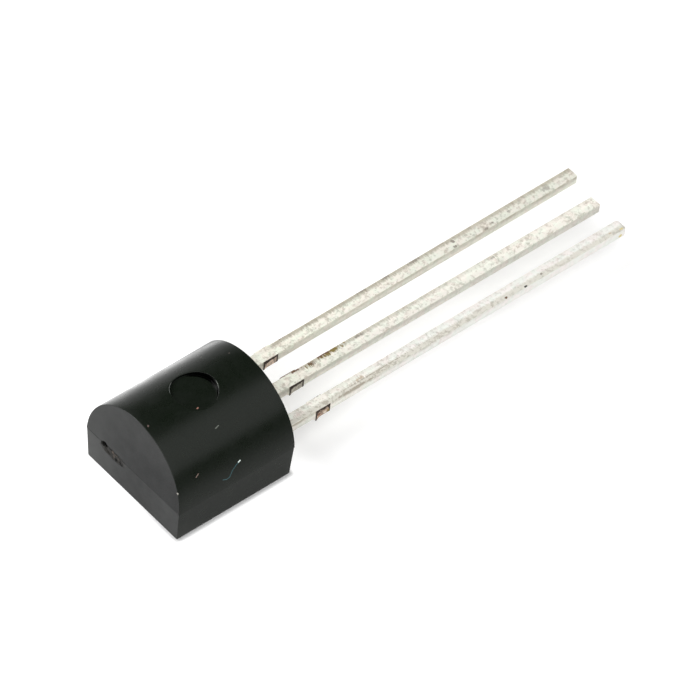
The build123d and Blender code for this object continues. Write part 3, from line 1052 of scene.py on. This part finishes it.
# ---- Dressing of the pieces ----
def inner_material(name, dark, light, metallic, rough, scale):
    """Plain material of a hidden piece, with small spots of two tones."""
    material, n, shader, mm = new_material(name)
    spots = n.noise(mm, scale, 4.0)
    n.join(n.mix(n.ramp(spots, 0.35, 0.65), dark, light), shader.inputs["Base Color"])
    shader.inputs["Metallic"].default_value = metallic
    n.join(n.ramp(spots, 0.3, 0.7, rough, rough + 0.12), shader.inputs["Roughness"])
    return material


def dress(obj, material):
    obj.data.materials.clear()
    obj.data.materials.append(material)


body = build_body()
dress(body, epoxy_material())
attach(body, "root")
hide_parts("moulded_body")

for node_name in LEADS:
    lead = build_lead(node_name)
    dress(lead, tin_material(node_name))
    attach(lead, "root")
    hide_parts(node_name)

silicon = inner_material("silicon_polished", (0.22, 0.24, 0.29, 1), (0.30, 0.33, 0.38, 1), 0.2, 0.18, 6.0)
bond = inner_material("silver_bond", (0.48, 0.47, 0.44, 1), (0.66, 0.65, 0.61, 1), 0.4, 0.5, 14.0)
gold = inner_material("gold_wire", (0.86, 0.62, 0.24, 1), (0.97, 0.77, 0.38, 1), 1.0, 0.2, 20.0)
dress(frame["nodes"]["silicon_die"], silicon)
dress(frame["nodes"]["die_attach"], bond)
for wire_name in ("output_wire", "input_wire", "ground_wire"):
    dress(frame["nodes"][wire_name], gold)


# ---- Floor, light and camera ----
WHITE = (1, 1, 1, 1)
PAPER = (0.86, 0.86, 0.86, 1)
DIM_PAPER = (0.16, 0.16, 0.16, 1)
BRIGHT_WAY = (-0.55, 0.83)  # direction in plan of the bright side, as x and y


def floor_glow(n, x, y):
    """How much the paper glows for the camera: less beside the body's foot and beyond its lead end.

    The dip beside the foot is a painted contact shadow.
    """
    past_end = n.most(n.minus(n.size(x), SEAT_X - 0.05), 0.0)
    past_side = n.most(n.minus(n.size(y), HALF_FLAT), 0.0)
    from_foot = n.length(past_end, past_side)
    # painted contact shadow beside the body's foot, strongest towards -Y
    contact_shadow = n.times(n.ramp(from_foot, 0.02, 0.20, 1.0, 0.0), n.ramp(y, 0.5, -2.0, 0.3, 1.0))
    glow = n.minus(n.ramp(x, 2.2, 3.6, 0.60, 0.20), n.times(contact_shadow, 0.60))
    paler = n.minus(n.ramp(x, 5.0, 6.5, 0.0, 0.065), n.ramp(x, 10.5, 13.0, 0.0, 0.065))
    return n.most(n.plus(glow, paler), 0.0)


def floor_sheen(n, x, y):
    """How bright the floor is in gloss: a bright strip on one side, which falls off with the distance."""
    towards = n.dot((x, y), BRIGHT_WAY)
    bright = n.times(n.ramp(towards, 1.9, 3.3, 0.0, 1.85), n.ramp(x, -2.5, 0.5, 0.1, 1.0))
    soft = n.times(n.ramp(towards, -1.5, 1.0, 0.0, 0.70), n.ramp(x, -2.5, 0.5, 0.74, 1.0))
    fall_off = n.times(n.ramp(towards, 3.0, 6.0, 1.0, 0.52), n.ramp(towards, 6.0, 16.0, 1.0, 0.35))
    near_side = n.times(n.ramp(towards, -14.0, -3.0, 0.0, 0.22), n.ramp(towards, -1.0, 1.0, 1.0, 0.0))
    return n.plus(n.times(n.plus(soft, bright), fall_off), near_side)


def build_floor():
    """Paper that glows for the camera, is dim with a bright side in gloss, and is plain for other light."""
    mesh = bpy.data.meshes.new("floor")
    side = 0.6
    low = -0.01 * MM
    corners = [(-side, -side, low), (side, -side, low), (side, side, low), (-side, side, low)]
    mesh.from_pydata(corners, [], [(0, 1, 2, 3)])
    floor = link("floor", mesh)
    material, n = empty_material("floor_paper")
    x, y, _ = n.axes(n.millimetres())
    paper = n.make("ShaderNodeBsdfDiffuse", PAPER).outputs[0]
    glow = n.make("ShaderNodeEmission", WHITE, floor_glow(n, x, y)).outputs[0]
    dim = n.make("ShaderNodeBsdfDiffuse", DIM_PAPER).outputs[0]
    sheen = n.make("ShaderNodeEmission", WHITE, floor_sheen(n, x, y)).outputs[0]
    ray = n.make("ShaderNodeLightPath").outputs
    unseen = n.either(ray["Is Glossy Ray"], paper, n.both(dim, sheen))
    n.make("ShaderNodeOutputMaterial", n.either(ray["Is Camera Ray"], unseen, n.both(paper, glow)))
    dress(floor, material)


def build_world():
    """White to the camera. For light: pale low down at +Y, dim overhead, a soft pale ceiling at -Y."""
    world = bpy.data.worlds.new("studio")
    bpy.context.scene.world = world
    world.use_nodes = True
    world.node_tree.nodes.clear()
    n = Nodes(world.node_tree)
    x, y, z = n.axes(n.make("ShaderNodeTexCoord").outputs["Generated"])
    left = n.times(n.ramp(z, 0.60, -0.06, 0.0, 0.56), n.ramp(y, 0.0, 0.6))
    ceiling = n.times(n.ramp(y, 0.0, -0.3), n.ramp(z, 0.22, 0.36), 0.50)
    back = n.times(n.ramp(x, 0.2, -0.3), 0.6)
    room = n.make("ShaderNodeBackground", WHITE, n.plus(left, ceiling, back, 0.035)).outputs[0]
    white = n.make("ShaderNodeBackground", WHITE, 1.0).outputs[0]
    to_camera = n.make("ShaderNodeLightPath").outputs["Is Camera Ray"]
    n.make("ShaderNodeOutputWorld", n.either(to_camera, room, white))


def area_lamp(name, place, target, size, power, in_gloss=True):
    """A round lamp, with its place, target and size in metres and its power in watts."""
    light = bpy.data.lights.new(name, "AREA")
    light.shape = "DISK"
    light.size = size
    light.energy = power
    obj = link(name, light)
    obj.location = place
    obj.rotation_mode = "QUATERNION"
    obj.rotation_quaternion = (Vector(target) - Vector(place)).to_track_quat("-Z", "Y")
    obj.visible_glossy = in_gloss


def build_camera():
    """The camera as it was fitted to the photo: angles in radians, lengths in millimetres."""
    azimuth, elevation, roll = 3.9347, 0.8306, 0.0997
    target = Vector((6.3326, -0.1436, 1.1781))
    distance, lens = 196.1755, 322.9
    flat = math.cos(elevation)
    away = Vector((flat * math.cos(azimuth), flat * math.sin(azimuth), math.sin(elevation)))
    level_right = (-away).cross(Vector((0, 0, 1))).normalized()
    level_up = level_right.cross(-away)
    right = math.cos(roll) * level_right + math.sin(roll) * level_up
    up = math.cos(roll) * level_up - math.sin(roll) * level_right
    place = (target + away * distance) * MM
    camera = bpy.data.cameras.new("camera")
    camera.lens = lens
    camera.sensor_width = 36.0
    camera.clip_start = 0.01
    camera.clip_end = 10.0
    obj = link("camera", camera)
    obj.matrix_world = Matrix((
        (right.x, up.x, away.x, place.x),
        (right.y, up.y, away.y, place.y),
        (right.z, up.z, away.z, place.z),
        (0, 0, 0, 1),
    ))
    bpy.context.scene.camera = obj


build_floor()
build_world()
area_lamp("key", (-0.10, 0.30, 0.32), (0.006, 0, 0), 0.30, 0.8)
area_lamp("overhead", (0.005, 0.0, 0.35), (0.005, 0, 0), 0.70, 0.85, in_gloss=False)
area_lamp("low_fill", (0.01, -0.50, 0.045), (0.01, 0, 0.001), 0.10, 0.75, in_gloss=False)
build_camera()

bpy.context.scene.view_settings.view_transform = "Standard"
